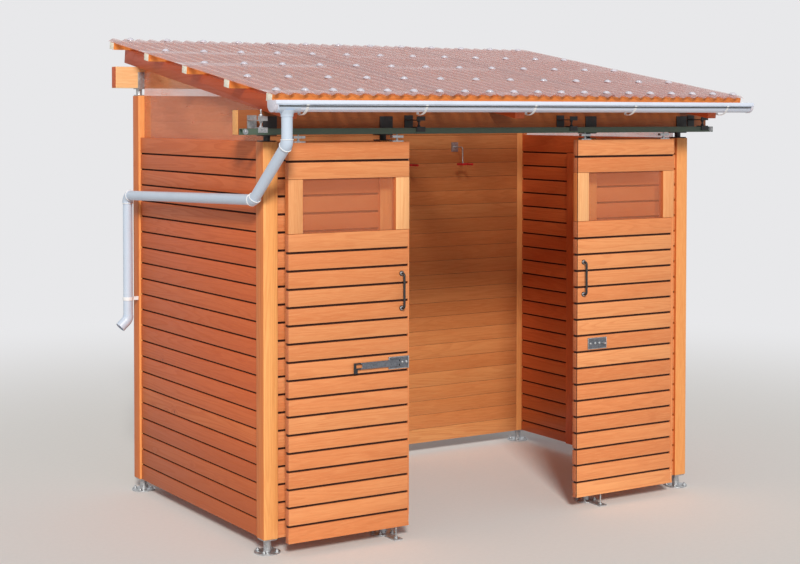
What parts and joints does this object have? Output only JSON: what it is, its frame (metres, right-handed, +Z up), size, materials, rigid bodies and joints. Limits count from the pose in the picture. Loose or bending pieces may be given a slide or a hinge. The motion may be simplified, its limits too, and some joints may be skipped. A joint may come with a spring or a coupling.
{
  "type": "bicycle shelter",
  "caption": "Lean-to timber bicycle shelter on steel feet, with boarded walls, a clear corrugated roof, a gutter and downpipe, and sliding doors on a top rail.",
  "frame": {"origin": "on the ground under the middle of the box round the shelter", "axes": "+X runs along the front from left to right as one faces it, +Y goes back from the front to the rear, +Z is up"},
  "size_m": [3.049, 2.0996, 2.5743],
  "materials": {
    "post_wood": "planed, oiled",
    "board_wood": "planed, oiled",
    "door_wood": "planed, oiled",
    "beam_wood": "planed, oiled",
    "rafter_wood": "planed, oiled",
    "purlin_wood": "planed, oiled",
    "clear_sheet": "clear",
    "clear_pane": "clear",
    "gutter_plastic": "smooth",
    "white_strap": "satin",
    "galvanised": "galvanised",
    "rail_paint": "satin",
    "black_steel": "satin",
    "hook_steel": "galvanised"
  },
  "bodies": {
    "shelter": {"front_left_post": "post_wood", "front_right_post": "post_wood", "rear_left_post": "post_wood", "rear_right_post": "post_wood", "left_jamb_post": "post_wood", "right_jamb_post": "post_wood", "corner_feet": "galvanised", "jamb_feet": "galvanised", "beam_shoes": "galvanised", "front_shoes": "black_steel", "left_wall": "board_wood", "right_wall": "board_wood", "back_wall": "board_wood", "left_front_panel": "board_wood", "right_front_panel": "board_wood", "front_beam": "beam_wood", "rear_beam": "beam_wood", "rafters": "rafter_wood", "eave_purlin": "purlin_wood", "purlins": "purlin_wood", "roof_sheets": "clear_sheet", "left_gable_pane": "clear_sheet", "right_gable_pane": "clear_sheet", "gutter": "gutter_plastic", "gutter_end_caps": "gutter_plastic", "gutter_brackets": "white_strap", "gutter_outlet": "gutter_plastic", "downpipe": "gutter_plastic", "pipe_elbows": "gutter_plastic", "pipe_tail": "gutter_plastic", "pipe_clips": "white_strap", "door_rail": "rail_paint", "rail_brackets": "black_steel", "floor_guides": "galvanised", "bike_hooks": "hook_steel"},
    "left_door": {"left_door_leaf": "door_wood", "left_door_pane": "clear_pane", "left_door_hangers": "galvanised", "left_door_channel": "galvanised", "left_door_handle": "black_steel", "left_hasp_plate": "galvanised"},
    "right_door": {"right_door_leaf": "door_wood", "right_door_pane": "clear_pane", "right_door_hangers": "galvanised", "right_door_channel": "galvanised", "right_door_handle": "black_steel", "right_lock_plate": "galvanised"},
    "hasp": {"hasp_arm": "galvanised"}
  },
  "joints": [
    {"name": "left_door_slide", "type": "slide", "parent": "shelter", "child": "left_door", "axis": [1, 0, 0], "range_m": [0, 0.59]},
    {"name": "right_door_slide", "type": "slide", "parent": "shelter", "child": "right_door", "axis": [-1, 0, 0], "range_m": [-0.116, 0.474]},
    {"name": "hasp_pivot", "type": "hinge", "parent": "left_door", "child": "hasp", "pos_m": [-0.6495, -0.80587, 0.897], "axis": [0, 0, 1], "range_deg": [0, 180]}
  ]
}
